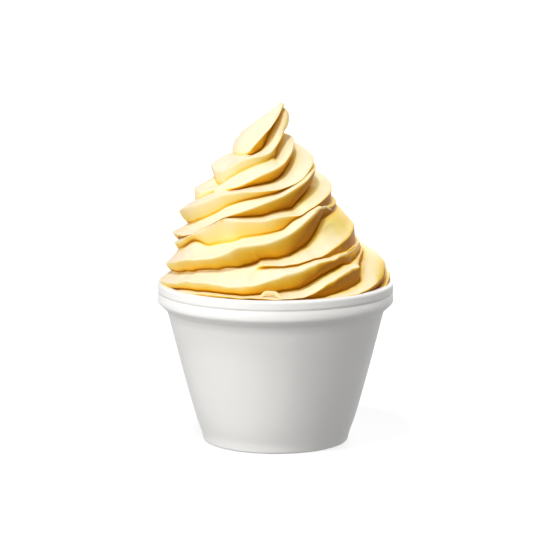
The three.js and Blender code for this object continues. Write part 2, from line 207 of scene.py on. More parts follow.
def smooth_through(knots: list[Point], places: np.ndarray) -> np.ndarray:
    """Values of the smooth curve through knots that overshoots none of them.

    Args:
        knots: Place and value of each knot, in any order.
        places: Where the curve is read.

    Returns:
        Its value at each place.
    """
    xs, ys = np.array(sorted(knots), float).T
    step = np.diff(xs)
    slope = np.diff(ys) / step
    product = slope[:-1] * slope[1:]
    total = slope[:-1] + slope[1:]
    lean = np.zeros(len(xs))
    lean[1:-1] = np.where(product > 0, 2 * product / np.where(total == 0, 1, total), 0)
    lean[0], lean[-1] = slope[0], slope[-1]
    places = np.clip(places, xs[0], xs[-1])
    i = np.clip(np.searchsorted(xs, places, side="right") - 1, 0, len(xs) - 2)
    t = (places - xs[i]) / step[i]
    start, end = ys[i], ys[i + 1]
    return (
        (2 * t**3 - 3 * t**2 + 1) * start
        + (t**3 - 2 * t**2 + t) * step[i] * lean[i]
        + (3 * t**2 - 2 * t**3) * end
        + (t**3 - t**2) * step[i] * lean[i + 1]
    )


def shown(name: str, data: bpy.types.ID) -> bpy.types.Object:
    """Puts a mesh, a light or a camera into the scene as an object at the origin."""
    piece = bpy.data.objects.new(name, data)
    bpy.context.scene.collection.objects.link(piece)
    return piece


def give(mesh: bpy.types.Mesh, name: str, values: np.ndarray, kind: str = "FLOAT") -> None:
    """Gives each point of a mesh a named value.

    Args:
        mesh: The mesh.
        name: The value's name.
        values: One for each point.
        kind: FLOAT, or INT for whole numbers.
    """
    data = values.astype(np.int32 if kind == "INT" else np.float32)
    mesh.attributes.new(name, kind, "POINT").data.foreach_set("value", data)


class Surface(Enum):
    """The kinds of input socket that a shape tree takes."""

    NUMBER = "NodeSocketFloat"
    SHAPE = "NodeSocketGeometry"
    PIECE = "NodeSocketObject"
    FINISH = "NodeSocketMaterial"


class ShapeTree:
    """A Geometry Nodes tree with named inputs, and what turns it into a plain mesh."""

    def __init__(self, name: str) -> None:
        """Starts a tree with a shape coming in and a shape going out."""
        self.group = bpy.data.node_groups.new(name, "GeometryNodeTree")
        self.graph = Graph(self.group)
        self.values: dict[str, Any] = {}
        self.entry: bpy.types.Node | None = None
        self._open("Shape", Surface.SHAPE)
        self.group.interface.new_socket(
            "Shape", in_out="OUTPUT", socket_type=Surface.SHAPE.value
        )

    def _open(self, name: str, kind: Surface) -> None:
        """Adds a named input to the tree."""
        self.group.interface.new_socket(name, in_out="INPUT", socket_type=kind.value)

    def take(self, name: str, kind: Surface, value: Any) -> Wire:
        """Adds a named input, and keeps the value that it gets.

        Args:
            name: The input's name.
            kind: What it takes.
            value: What the modifier hands it.

        Returns:
            The input, as a wire.
        """
        self._open(name, kind)
        self.values[name] = value
        return self.inlet(name)

    def inlet(self, name: str) -> Wire:
        """A named input of the tree, as a wire."""
        if self.entry is None:
            self.entry = self.group.nodes.new("NodeGroupInput")
        return Wire(self.graph, self.entry.outputs[name])

    def stored(self, name: str, kind: str = "FLOAT") -> Wire:
        """A named value of the mesh's points."""
        return self.graph.add(
            "GeometryNodeInputNamedAttribute", {"data_type": kind}, {"Name": name}
        )

    def close(self, shape: Wire, finish: Wire) -> None:
        """Ends the tree: instances made real, and the finish put on."""
        real = self.graph.add("GeometryNodeRealizeInstances", inputs={"Geometry": shape})
        dressed = self.graph.add(
            "GeometryNodeSetMaterial", inputs={"Geometry": real, "Material": finish}
        )
        self.graph.add("NodeGroupOutput", inputs={"Shape": dressed})

    def grown(self, name: str, start: bpy.types.Mesh) -> bpy.types.Object:
        """Runs the tree on a mesh and keeps the result as a plain mesh.

        Args:
            name: The piece's name.
            start: The mesh that the tree starts from.

        Returns:
            The piece, with no modifier left on it.
        """
        piece = shown(name, start)
        modifier = piece.modifiers.new("grow", "NODES")
        modifier.node_group = self.group
        for item in self.group.interface.items_tree:
            if item.in_out == "INPUT" and item.name in self.values:
                modifier[item.identifier] = self.values[item.name]
        seen = piece.evaluated_get(bpy.context.evaluated_depsgraph_get())
        mesh = bpy.data.meshes.new_from_object(seen)
        piece.modifiers.clear()
        piece.data = mesh
        mesh.name = name
        return piece


class Finish:
    """A finish, which is made a material from the inputs of one shader."""

    name: str

    def inputs(self, graph: Graph) -> dict[str, Value]:
        """What goes into the shader, by its inputs' names."""
        raise NotImplementedError

    def make(self) -> bpy.types.Material:
        """Builds the material."""
        material = bpy.data.materials.new(self.name)
        material.use_nodes = True
        graph = Graph(material.node_tree)
        shader = graph.add("ShaderNodeBsdfPrincipled", inputs=self.inputs(graph))
        graph.add("ShaderNodeOutputMaterial", inputs={"Surface": shader})
        return material


@dataclass(frozen=True)
class YogurtFinish(Finish):
    """Pale frozen yogurt: its own cream, with golden to brown painted shade where the skin's shade
    value is high.
    """

    name: str = "frozen yogurt"
    # The palest tone is the yogurt's own colour; the golden to brown ones are painted shade.
    shade_tones: tuple[tuple[float, Colour], ...] = (
        (0.15, (0.97, 0.795, 0.58)),
        (0.45, (0.975, 0.79, 0.475)),
        (0.64, (0.965, 0.735, 0.22)),
        (0.80, (0.92, 0.56, 0.035)),
        (0.92, (0.72, 0.345, 0.006)),
        (1.00, (0.48, 0.185, 0.001)),
    )
    unevenness: float = 0.12
    soft_share: float = 0.3
    soft_depth: float = 0.004
    depth: Colour = (0.0022, 0.0010, 0.0004)
    mottle_scale: float = 70.0
    grain_scale: float = 900.0
    grain_height: float = 0.00006
    grain_strength: float = 0.5
    roughness: tuple[float, float] = (0.40, 0.16)
    gloss: float = 0.15

    def inputs(self, graph: Graph) -> dict[str, Value]:
        """The shader's inputs: the tone by the painted shade value, with a faint mottle and grain."""
        place = graph.add("ShaderNodeTexCoord", output="Object")
        # The stored value is painted shade, for folds, creases and slopes turned from the light.
        closed = graph.add("ShaderNodeAttribute", {"attribute_name": "closed"}, output="Fac")
        patches = graph.noise(place, self.mottle_scale, 3.0) - 0.5
        colour = graph.ramp(closed + patches * self.unevenness, self.shade_tones)
        grain = graph.noise(place, self.grain_scale, 2.0)
        bump = graph.add("ShaderNodeBump", inputs={
            "Strength": self.grain_strength, "Distance": self.grain_height, "Height": grain,
        })
        least, more = self.roughness
        return {
            "Base Color": colour,
            "Roughness": least + more * graph.noise(place, self.mottle_scale * 3),
            "Normal": bump,
            "Subsurface Weight": self.soft_share,
            "Subsurface Radius": tuple(length / self.soft_depth for length in self.depth),
            "Subsurface Scale": self.soft_depth,
            "Specular IOR Level": self.gloss,
        }


@dataclass(frozen=True)
class FoamFinish(Finish):
    """White moulded bead foam with a satin skin."""

    name: str = "white foam"
    skin: Colour = (0.88, 0.87, 0.845)
    seams: Colour = (0.85, 0.84, 0.815)
    bead: float = 0.0024
    bead_height: float = 0.00003
    bead_strength: float = 0.35
    joint_width: float = 0.12
    joint_tone: float = 0.25
    cloud_scale: float = 45.0
    cloud_ends: Point = (0.3, 0.7)
    cloud_height: float = 0.5
    cloud_tone: float = 0.5
    grain_scale: float = 260.0
    roughness: tuple[float, float, float] = (0.42, 0.12, 0.08)

    def inputs(self, graph: Graph) -> dict[str, Value]:
        """The shader's inputs: the beads' joints show faintly in tone and relief."""
        place = graph.add("ShaderNodeTexCoord", output="Object")
        cells = graph.add(
            "ShaderNodeTexVoronoi",
            {"feature": "DISTANCE_TO_EDGE"},
            {"Vector": place, "Scale": 1 / self.bead},
        )
        joint = graph.spread(cells, 0.0, self.joint_width, 1.0, 0.0)
        patches = graph.noise(place, self.cloud_scale)
        clouds = graph.spread(patches, *self.cloud_ends, 0.0, self.cloud_height)
        tone = (joint * self.joint_tone + clouds * self.cloud_tone).at_most(1.0)
        bump = graph.add("ShaderNodeBump", inputs={
            "Strength": self.bead_strength, "Distance": self.bead_height, "Height": 1 - joint,
        })
        least, more, at_joint = self.roughness
        return {
            "Base Color": graph.blend(tone, (*self.skin, 1), (*self.seams, 1)),
            "Roughness": least + more * graph.noise(place, self.grain_scale) + at_joint * joint,
            "Normal": bump,
            "Subsurface Weight": 0.12,
            "Subsurface Radius": (1.0, 0.95, 0.85),
            "Subsurface Scale": 0.0015,
            "Specular IOR Level": 0.4,
        }


@dataclass(frozen=True)
class PlainFinish(Finish):
    """A plain matt finish, lit a little from within, for what isn't part of the object."""

    name: str
    colour: Colour
    glow: float = 0.0
    roughness: float = 0.7

    def inputs(self, graph: Graph) -> dict[str, Value]:
        """The shader's inputs, all plain values."""
        return {
            "Base Color": (*self.colour, 1),
            "Roughness": self.roughness,
            "Specular IOR Level": 0.2,
            "Emission Color": (1, 1, 1, 1),
            "Emission Strength": self.glow,
        }


@dataclass(frozen=True)
class Station:
    """What one ridge of the swirl is at one bearing, in degrees and millimetres.

    The bearing runs from 0 at the viewer's left over 90 in front to 180 at the right. The height is
    measured from the lip and the reach from the axis. The fold is how far the surface cuts in below
    the crest. A roundness of 0 is a sharp crest and 1 a round one, and at 2 the surface runs on
    straight, with no fold. The share is how much of the drop to the next ridge lies above the
    fold's innermost line, and 0 stands for the usual one.
    """

    bearing: float
    height: float
    reach: float
    fold: float
    roundness: float
    share: float = 0.0


# The ridges from the tip down, by their number across the front. Each has the numbers of its stations.
RIDGES: dict[int, tuple[tuple[float, ...], ...]] = {
    -3: (
        (0, 69, 8.6, 0, 2), (45, 72, 7.2, 0, 2), (90, 75.5, 4.8, 0, 2), (105, 77.6, 3, 0, 2),
        (120, 78.6, 2, 0, 2), (180, 79.5, .9, 0, 2),
    ),
    -2: (
        (0, 64, 11.4, 0, 2), (45, 67, 10.4, 0, 2), (90, 71.5, 7.6, 0, 2), (105, 75.3, 5, 0, 2),
        (120, 77.5, 2.8, 0, 2), (135, 78.4, 2, 0, 2), (180, 79.2, 1.3, 0, 2),
    ),
    -1: (
        (0, 58.6, 13.4, 0, 1, .2), (45, 58.4, 13.2, 0, 1, .2), (58, 58.8, 13.2, .2, .8, .3),
        (66, 59.8, 12.8, 3, .1, .7), (75, 62.3, 12.2, 7, 0, .8), (84, 65, 11.4, 7.5, 0, .84),
        (91, 67.4, 10.5, 7, 0, .84), (98, 70.4, 8.5, 6, 0, .84), (105, 73.3, 6.4, 4, 0, .84),
        (118, 76.4, 3.6, 1.5, 0, .8), (130, 77.6, 2.6, .4, .3, .6), (150, 78.4, 2.2, .2, .6, .3),
        (180, 79, 1.6, 0, 1, .3),
    ),
    0: (
        (0, 51.9, 23, 1.5, .3, .5), (15, 50.7, 22.4, 1.5, .3, .7), (30, 50.9, 21.7, 1.2, .2, .8),
        (45, 53.1, 21, 1, .2, .55), (60, 56, 20.1, 1, .2, .45), (75, 57.5, 18.9, .7, .3),
        (90, 58.3, 17.5, .3, .5), (105, 59.5, 15.5, .6, .6), (120, 61.6, 12.6, 3, .5, .75),
        (135, 64, 11.2, 4.5, .4, .8), (150, 67.5, 9.8, 4, .5, .85), (165, 71, 8.4, 3, .6, .88),
        (180, 73.5, 6.8, 2, .6, .9),
    ),
    1: (
        (0, 41.2, 30.4, .6, .1, .55), (14, 41.4, 29.4, .6, .1, .5), (26, 42.6, 26.4, .5, .6, .3),
        (34, 43.4, 24.8, .3, 1.2, .25), (45, 43.8, 24, .3, 1.2, .3), (54, 44.4, 23.6, 1, .1, .6),
        (62, 45.4, 23.2, 3, 0), (75, 47.8, 22.5, 4.5, 0), (90, 50.6, 21.5, 5, 0), (105, 52.6, 20, 5, 0),
        (120, 54.6, 18.1, 5, 0), (135, 57.3, 16.5, 5, .1), (150, 59.5, 15.6, 4, .3),
        (180, 64, 13.7, 3, .6), (205, 66, 9.5, 2, .8),
    ),
    2: (
        (0, 31.7, 37.7, 4, .3, .6), (15, 34.2, 35.9, 3.2, .1, .6), (30, 37.1, 34.1, 2.6, 0, .54),
        (45, 40.2, 32.5, 2, 0, .57), (60, 43, 30.9, 1.5, 0, .54), (75, 44, 29.4, 1.5, .1, .51),
        (90, 44.4, 28, 1.8, .2, .54), (105, 44.9, 26.9, 2.5, .5, .6), (120, 45.8, 26, 4, .7),
        (135, 48.1, 25, 4.5, .8), (150, 51.5, 24, 5, .9), (180, 56.5, 21.6, 5, .9),
    ),
    3: (
        (0, 21.8, 40.7, 3, 0), (15, 22.4, 39.1, 1.2, 0, .5), (30, 23.6, 37.6, .1, 0, .5),
        (45, 27.9, 36, .1, 0, .5), (52, 30.2, 35.3, .1, 0, .5), (60, 32.8, 34.5, .2, 0, .5),
        (67, 34.6, 33.7, 2, 0, .7), (75, 36.1, 33, 4, 0, .8), (90, 39.1, 31.5, 5, 0, .84),
        (105, 42.3, 30, 5, 0, .85), (120, 45.5, 28.5, 5, 0, .85), (135, 48, 27, 5, .1),
        (150, 50.3, 25.4, 4.5, .3), (180, 52.5, 22.8, 4, .6),
    ),
    4: (
        (0, 16.8, 41, .3, .8, .3), (15, 19.2, 39, 1, .3, .3), (30, 23, 37.5, 2, 0, .25),
        (45, 27.4, 35.9, 2.2, 0, .62), (60, 32.2, 34.5, 2.2, 0, .7), (75, 32.1, 34.1, 2, 0, .78),
        (90, 32.4, 33.5, 1.8, .1, .74), (105, 33.6, 33.4, 1.6, .2, .84), (118, 33.8, 33.4, .8, .4, .4),
        (128, 36, 33, .4, .7), (138, 37.9, 32.4, .4, .3, .7), (150, 39.6, 31.5, .5, .1, .8),
        (180, 43.5, 30.2, .5, .2, .8),
    ),
    5: (
        (0, 7.9, 48.4, .2, .1, .92), (15, 10.1, 47.2, .1, .1, .92), (30, 13, 45.7, .1, 0, .94),
        (45, 14.9, 44.5, .1, 0, .95), (53, 15.9, 43.9, .2, 0, .95), (60, 17.2, 43.3, .5, 0, .9),
        (67, 19.2, 42.6, 2, 0, .93), (75, 21.7, 41.9, 5, 0, .91), (90, 23.4, 40.5, 6.5, 0, .86),
        (105, 26.3, 38.6, 5, 0, .84), (115, 29.4, 37, 5, 0, .82), (122, 32, 36.4, 5, 0, .8),
        (131, 35, 35.5, 4.5, .1, .7), (138, 36.4, 34.2, 3, .3, .5), (145, 35, 32.6, 2, .6, .3),
        (160, 35, 32.4, .6, .8, .2), (180, 36, 32, .6, .8, .2),
    ),
    6: (
        (0, 4.4, 46, 0, 2), (15, 5.4, 44.6, 0, 2), (30, 7.4, 42.8, 0, 2), (45, 9.6, 41.2, 0, 2),
        (60, 10.9, 40, 0, 2), (74, 11.6, 39, 0, 2), (81, 12.8, 39.2, .1, 1, .2),
        (86, 14, 43.4, 1.2, 0, .25), (95, 14, 43.6, 1, .2, .25), (105, 14.6, 43.2, 1, .4),
        (120, 16.2, 42.6, 1, .3, .5), (135, 18.9, 42, .6, .1, .9), (150, 22, 41.3, .3, .1, .97),
        (165, 24.2, 40.7, .2, .1, .97), (180, 25.6, 39.9, .2, .2, .95),
    ),
    7: (
        (0, .4, 52, 1, .2), (15, 1.9, 51.4, 2, .1), (30, 3.4, 50.4, 2.5, 0), (42, 5.5, 49.6, 3, 0, .9),
        (52, 5.7, 49.1, 3.4, 0, .97), (65, 5.1, 48.4, 3.2, 0, 1), (75, 5.5, 47.9, 3.2, 0, .97),
        (90, 8.9, 47, 4.8, 0, .8), (105, 12, 46.1, 5.2, 0, .78), (120, 14.7, 45.1, 5.2, 0, .8),
        (135, 15.8, 44, 4.2, 0, .8), (142, 16.3, 43, 2, .1, .8), (150, 17, 41.4, .5, .3, .8),
        (157, 17.3, 41.4, .3, .5, .9), (165, 17.6, 41.4, .3, .5, .9), (180, 18.4, 41.3, .3, .5, .9),
    ),
    8: (
        (0, -5.3, 50.5, 3, .3), (30, -.9, 50.3, 2, .3), (45, .7, 50.3, 2, .3), (60, 1.1, 50.3, 2, .3),
        (90, .6, 50.3, 2, .3), (104, .8, 49.6, 2.5, .2), (112, 3.4, 48.6, 2.5, .2, .8),
        (120, 6.2, 47.9, 2.5, .2, .88), (135, 9.9, 46.2, 2.2, .2, .85), (147, 10.6, 44.8, 1.5, .2, .8),
        (152, 11, 42.4, .5, .5, .6), (158, 12.6, 41.5, .2, .8, .3), (167, 14.2, 41.5, .2, .8, .2),
        (180, 15.4, 41.3, .2, .8, .15),
    ),
    9: (
        (0, -9, 50.5, 2, .5), (45, -4.2, 50.5, 2, .5), (90, -1.8, 51, 2, .5), (120, -.6, 50.8, 2, .5),
        (135, .4, 50.7, 3, .5), (150, 2, 50.4, 3, .6), (165, 4.4, 50, 3, .7), (180, 7, 49.6, 3, .8),
    ),
}  # fmt: skip


def swirl_ridges() -> dict[int, list[Station]]:
    """The stations of the listed ridges, by the ridge's number."""
    return {number: [Station(*sizes) for sizes in listed] for number, listed in RIDGES.items()}


@dataclass(frozen=True)
class Bend:
    """How the surface curves from a crest into the fold below and out to the next crest.

    Each size is a share of the curve's width or height, first for a sharp crest and then for a
    round one. `tuck` and `meet` are measured from the upper crest, `leave` from the fold's
    innermost line and `arrive` from the lower crest.
    """

    tuck_in: Point
    tuck_down: Point
    meet_in: Point
    meet_down: Point
    leave_out: Point
    leave_down: Point
    arrive_out: Point
    arrive_up: Point


GROOVE = Bend(
    (0.20, 0.0), (0.42, 0.42), (0.65, 0.65), (0.80, 0.80),
    (0.22, 0.50), (0.32, 0.0), (0.38, 0.0), (0.25, 0.55),
)  # fmt: skip
SEAM = Bend(
    (0.12, 0.12), (0.42, 0.42), (0.45, 0.45), (0.88, 0.88),
    (0.40, 0.40), (0.05, 0.05), (0.38, 0.0), (0.05, 0.60),
)  # fmt: skip


@dataclass(frozen=True)
class Waver:
    """How a crest line wavers in reach and height: a few sine waves, set off by its strand.

    Sizes are in millimetres, `per_degree` is roughly a degree in radians, and phases are in radians.
    Near the axis, within `full_reach`, the waves shrink.
    """

    size: float = 0.14
    pitches: tuple[float, ...] = (0.10, 0.17, 0.29)
    rate: float = 2.4
    per_degree: float = 0.0175
    full_reach: float = 30.0
    least_share: float = 0.1
    least_reach: float = 8.0
    strand_phase: float = 1.9
    pitch_phase: float = 2.3
    height_share: float = 1.2
    height_pitch: float = 1.13
    height_phase: float = 1.0

    def moved(self, sizes: list[np.ndarray], strand: int, places: np.ndarray) -> list[np.ndarray]:
        """Makes a crest line a little uneven in reach and height.

        Args:
            sizes: Reach, height and what else a crest has, along its strand.
            strand: The strand's number.
            places: The bearings along the strand.

        Returns:
            The same sizes, with the first two changed.
        """
        calm = np.clip(sizes[0] / self.full_reach, self.least_share, 1) * self.size
        along = places * sizes[0].clip(self.least_reach) * self.per_degree * self.rate
        for i, pitch in enumerate(self.pitches):
            turn = along * pitch + self.strand_phase * strand + self.pitch_phase * i * i
            upright = np.sin(self.height_pitch * turn + self.height_phase)
            sizes[0] = sizes[0] + calm * np.sin(turn) / (1 + i)
            sizes[1] = sizes[1] + calm * self.height_share * upright / (1 + i)
        return sizes


@dataclass(frozen=True)
class Shred:
    """A thin torn strip of the swirl, which tapers off at both ends.

    Each knot is a bearing, a height above the lip and a reach, as for a ridge.
    """

    knots: tuple[tuple[float, float, float], ...]
    width: float
    thickness: float
    least_share: float = 0.12

    def strip(self, steps: int) -> tuple[np.ndarray, np.ndarray]:
        """The strip's middle line as bearing, height and reach, and its taper.

        Args:
            steps: How many points the line gets.

        Returns:
            An array of three rows, and the share of the full width at each point.
        """
        share = np.linspace(0, 1, steps)
        at = np.linspace(0, 1, len(self.knots))
        line = [smooth_through(list(zip(at, column)), share) for column in zip(*self.knots)]
        return np.array(line), np.sqrt(4 * share * (1 - share)).clip(self.least_share)


def torn_shreds() -> tuple[Shred, ...]:
    """The strips that the swirl's torn edges leave, from the top down."""
    return (
        Shred(((128, 35.2, 36), (133, 36.4, 36), (139, 36.6, 35.6), (147, 34.6, 35.6)), 1.1, 0.5),
        Shred(
            ((172, 20.6, 41.6), (167, 19.2, 41.8), (159, 17.6, 42), (149, 16.6, 42.4),
             (139, 16.3, 43.6), (134, 16.2, 44)), 0.6, 0.35,
        ),
        Shred(
            ((171, 16.5, 41.9), (160.5, 14.2, 42.2), (151.5, 11.8, 43.3), (145, 9.9, 45.2)), 0.6, 0.35,
        ),
        Shred(((166.5, 12.8, 43.8), (158, 11.7, 43.8), (151, 11, 44.4)), 0.6, 0.35),
        Shred(
            ((82.5, 0.4, 49.6), (83.8, 2, 48.8), (86, 2.9, 48.2), (89.5, 2.8, 48.2), (91.8, 1.7, 48.8),
             (93.5, 0.2, 49.6)), 2.0, 1.0,
        ),
    )  # fmt: skip


@dataclass
class Swirl:
    """The piped heap: six fins wound round a bent axis, each turn tucked over the next.

    Lengths are in millimetres, and heights are measured from the lip.

    Some values set only the tone of the skin, and part of that tone is painted shade, which stays
    under any light. The values named for the crease add a band of painted shade along the folds.
    The side towards which a point counts as open is the lit side, so slopes that face away from it
    get painted shade, also in the open. `front_depth`, `back_depth` and `back_share` lessen the
    painted shade towards the back, and the `right` values deepen it at the right. These last have
    no cause in the object. The torn strips get one even painted shade.
    """

    finish: bpy.types.Material
    lip: float = 72.0
    tip: float = 80.0
    fins: int = 6
    columns: int = 400
    spare_above: int = 3
    spare_below: int = 4
    tip_shrink: float = 0.6
    hidden_drop: float = 4.2
    hidden_reach: float = 51.0
    deepest: float = -2.0
    rim_reach: float = 51.9
    tuck_levels: Point = (-3.5, -0.8)
    tuck_depth: float = 4.2
    least_drop: float = 0.3
    fold_reach: float = 16.0
    least_valley: float = 0.25
    seam_share: float = 0.76
    groove_share: float = 0.42
    waver: Waver = Waver()
    ripple: float = 0.35
    ripple_scale: float = 55.0
    ripple_stretch: float = 1.6
    ripple_reach: float = 12.0
    seed: float = 4.0
    # A band of painted shade along the folds.
    crease_shade_width: float = 2.6
    crease_shade: float = 0.42
    crease_shade_pull: float = 2.2
    crease_shade_depth: float = 1.5
    least_crease_shade: float = 0.35
    fold_sight: float = 24.0
    # Painted shade: less of it towards the back, more at the right of the front.
    front_depth: float = -15.0
    back_depth: float = 25.0
    back_share: float = 0.42
    right_reach: float = 36.0
    right_share: float = 0.28
    looks: int = 72
    look_gap: float = 0.2
    least_facing: float = 0.25
    focus: int = 3
    tone_blur: int = 2
    # The side the painted light falls from: slopes turned away from it get painted shade.
    lit_side: tuple[float, float, float] = (-0.42, -0.38, 0.82)
    riser: tuple[float, ...] = (0.0, 0.07, 0.16, 0.27, 0.40, 0.56, 0.75, 0.90)
    shelf: tuple[float, ...] = (0.0, 0.12, 0.28, 0.46, 0.64, 0.80, 0.92)
    lean: tuple[Point, ...] = (
        (-30, 0), (0, 0), (8, -0.6), (14, -2.5), (20, -4.8), (46, -5.3), (57, -5.6),
        (61, -6.1), (66, -5.2), (69.5, -3.2), (73, -1.2), (77, 1.3), (80, 2.7),
    )  # fmt: skip
    lean_range: float = 20.0
    ridges: dict[int, list[Station]] = field(default_factory=swirl_ridges)
    shreds: tuple[Shred, ...] = field(default_factory=torn_shreds)
    shred_steps: int = 25
    shred_sides: int = 10
    # One even painted shade for the torn strips.
    shred_shade: float = 0.5
    pole_edges: int = 8
    softening: float = 0.5
    filling: tuple[Point, ...] = ((66.0, 47.5), (40.0, 41.0), (6.0, 30.5))

    @property
    def first(self) -> int:
        """The number of the topmost ridge that the mesh has."""
        return min(self.ridges) - self.spare_above

    @property
    def last(self) -> int:
        """The number of the lowest ridge that the mesh may reach."""
        return max(self.ridges) + self.spare_below

    def stations(self, number: int) -> list[Station]:
        """The stations of any ridge, those past the listed ones by a rule.

        Args:
            number: The ridge's number.

        Returns:
            Its stations.
        """
        low, high = min(self.ridges), max(self.ridges)
        if number < low:
            share = self.tip_shrink ** (low - number)
            return [
                Station(s.bearing, self.tip - (self.tip - s.height) * share, s.reach * share, 0, 2)
                for s in self.ridges[low]
            ]
        if number > high:
            fall = self.hidden_drop * (number - high)
            return [
                Station(s.bearing, s.height - fall, self.hidden_reach, 0, 1)
                for s in self.ridges[high]
            ]
        return self.ridges[number]

    def settled(self, station: Station, number: int) -> Station:
        """A station with its share filled in, by whether a seam or a groove lies below it."""
        usual = self.seam_share if number % 2 else self.groove_share
        return replace(station, share=station.share or usual)

    def crests(self) -> bpy.types.Object:
        """The ridges' crest lines as guide points, one row of them for each ridge.

        A point's X is its reach and Z its height, and it carries the fold, roundness and share there.

        Returns:
            The guide object, which is removed when the swirl is made.
        """
        numbers = list(range(self.first, self.last + self.fins + 1))
        bearings = np.arange(self.columns) * 360.0 / self.columns
        rows = []
        for number in numbers:
            strand = [
                (self.settled(s, n), 360.0 * (n // self.fins))
                for n in range(self.first - self.fins, self.last + 3 * self.fins)
                if n % self.fins == number % self.fins
                for s in self.stations(n)
            ]
            places = bearings - 360.0 * (number // self.fins)
            sizes = [
                smooth_through([(s.bearing - turn, getattr(s, name)) for s, turn in strand], places)
                for name in ("reach", "height", "fold", "roundness", "share")
            ]
            rows.append(self.waver.moved(sizes, number % self.fins, places))
        sizes = np.array(rows).transpose(0, 2, 1).reshape(-1, 5)
        mesh = bpy.data.meshes.new("crest guides")
        mesh.from_pydata([(r * MM, 0.0, h * MM) for r, h in sizes[:, :2]], [], [])
        for name, column, scale in (("fold", 2, MM), ("roundness", 3, 1.0), ("share", 4, 1.0)):
            give(mesh, name, sizes[:, column] * scale)
        return shown("crest guides", mesh)

    def net(self, lowest: np.ndarray) -> bpy.types.Mesh:
        """The flat net of points and faces that the tree lifts into the swirl.

        Args:
            lowest: For each column, how many rows it has.

        Returns:
            A mesh whose points say which guides they lie between, and where.
        """
        steps = [(0, t) for t in self.riser] + [(1, t) for t in self.shelf]
        per = len(steps)
        points: list[tuple[float, ...]] = [(0, 0, 0, 0, 0, 0, 1)]
        columns: list[list[tuple[float, int]]] = []
        for i in range(self.columns):
            column = [(-math.inf, 0)]
            for row in range(math.ceil(self.fins * i / self.columns) * per, int(lowest[i])):
                guide, step = divmod(row, per)
                part, along = steps[step]
                upper = guide * self.columns + i
                column.append((row, len(points)))
                points.append((
                    upper, upper + self.columns, part, along,
                    (self.first + guide) % 2, i * math.tau / self.columns, 0,
                ))
            columns.append(column)
        turn = self.fins * per
        closing = [(row + turn, point) for row, point in columns[0]]
        faces = [
            face
            for left, right in zip(columns, columns[1:] + [closing])
            for face in self.strip(left, right)
        ]
        mesh = bpy.data.meshes.new("swirl net")
        mesh.from_pydata([(0.0, 0.0, 0.0)] * len(points), [], faces)
        names = ("upper", "lower", "part", "along", "seam", "bearing", "apex")
        for name, values in zip(names, np.array(points, float).T):
            give(mesh, name, values, "INT" if name in ("upper", "lower") else "FLOAT")
        return mesh

    @staticmethod
    def strip(
        left: list[tuple[float, int]], right: list[tuple[float, int]]
    ) -> list[tuple[int, ...]]:
        """The faces between two columns of points that are matched by row.

        Args:
            left: Row and point of each step down the left column.
            right: The same for the right column.

        Returns:
            The faces, four-sided where both columns have the row.
        """
        faces, i, j = [], 0, 0
        while i < len(left) - 1 or j < len(right) - 1:
            next_left = left[i + 1][0] if i < len(left) - 1 else math.inf
            next_right = right[j + 1][0] if j < len(right) - 1 else math.inf
            down, across = next_left <= next_right, next_right <= next_left
            steps = left[i : i + 1 + down] + right[j : j + 1 + across][::-1]
            corners = list(dict.fromkeys(point for _, point in steps))
            i, j = i + down, j + across
            if len(corners) > 2:
                faces.append(tuple(corners))
        return faces

    def profile(self, tree: ShapeTree, crest: Wire) -> tuple[Wire, Wire, Wire]:
        """Lays each point between its two crests, before it is wound round the axis.

        Args:
            tree: The tree. Its points store which guides they lie between, and where.
            crest: The crest guides.

        Returns:
            A point's reach, its height, and its share of the painted shade along the crease.
        """
        graph = tree.graph

        def sampled(what: Wire, index: str, kind: str) -> Wire:
            """A value of the guides at the index that a point stores."""
            return graph.add(
                "GeometryNodeSampleIndex",
                {"data_type": kind, "domain": "POINT"},
                {"Geometry": crest, "Value": what, "Index": tree.stored(index, "INT")},
            )

        def size(index: str) -> tuple[Wire, Wire]:
            """The reach and height of a guide point."""
            place = graph.add("GeometryNodeInputPosition")
            parts = graph.add(
                "ShaderNodeSeparateXYZ", inputs={0: sampled(place, index, "FLOAT_VECTOR")}
            )
            return parts, parts.other("Z")

        reach, height = size("upper")
        out_reach, out_height = size("lower")
        fold = sampled(tree.stored("fold"), "upper", "FLOAT")
        top_round = sampled(tree.stored("roundness"), "upper", "FLOAT")
        low_round = sampled(tree.stored("roundness"), "lower", "FLOAT")
        share = sampled(tree.stored("share"), "upper", "FLOAT")
        seam, part, along = tree.stored("seam"), tree.stored("part"), tree.stored("along")
        plain = (top_round - 1).at_least(0.0).at_most(1.0)
        top_round, low_round = top_round.at_most(1.0), low_round.at_most(1.0)

        def steer(name: str, roundness: Wire) -> Wire:
            """One share of the bend, by how round a crest is, across a groove or down a seam."""
            across, down = (blended(*getattr(bend, name), roundness) for bend in (GROOVE, SEAM))
            return blended(across, down, seam)

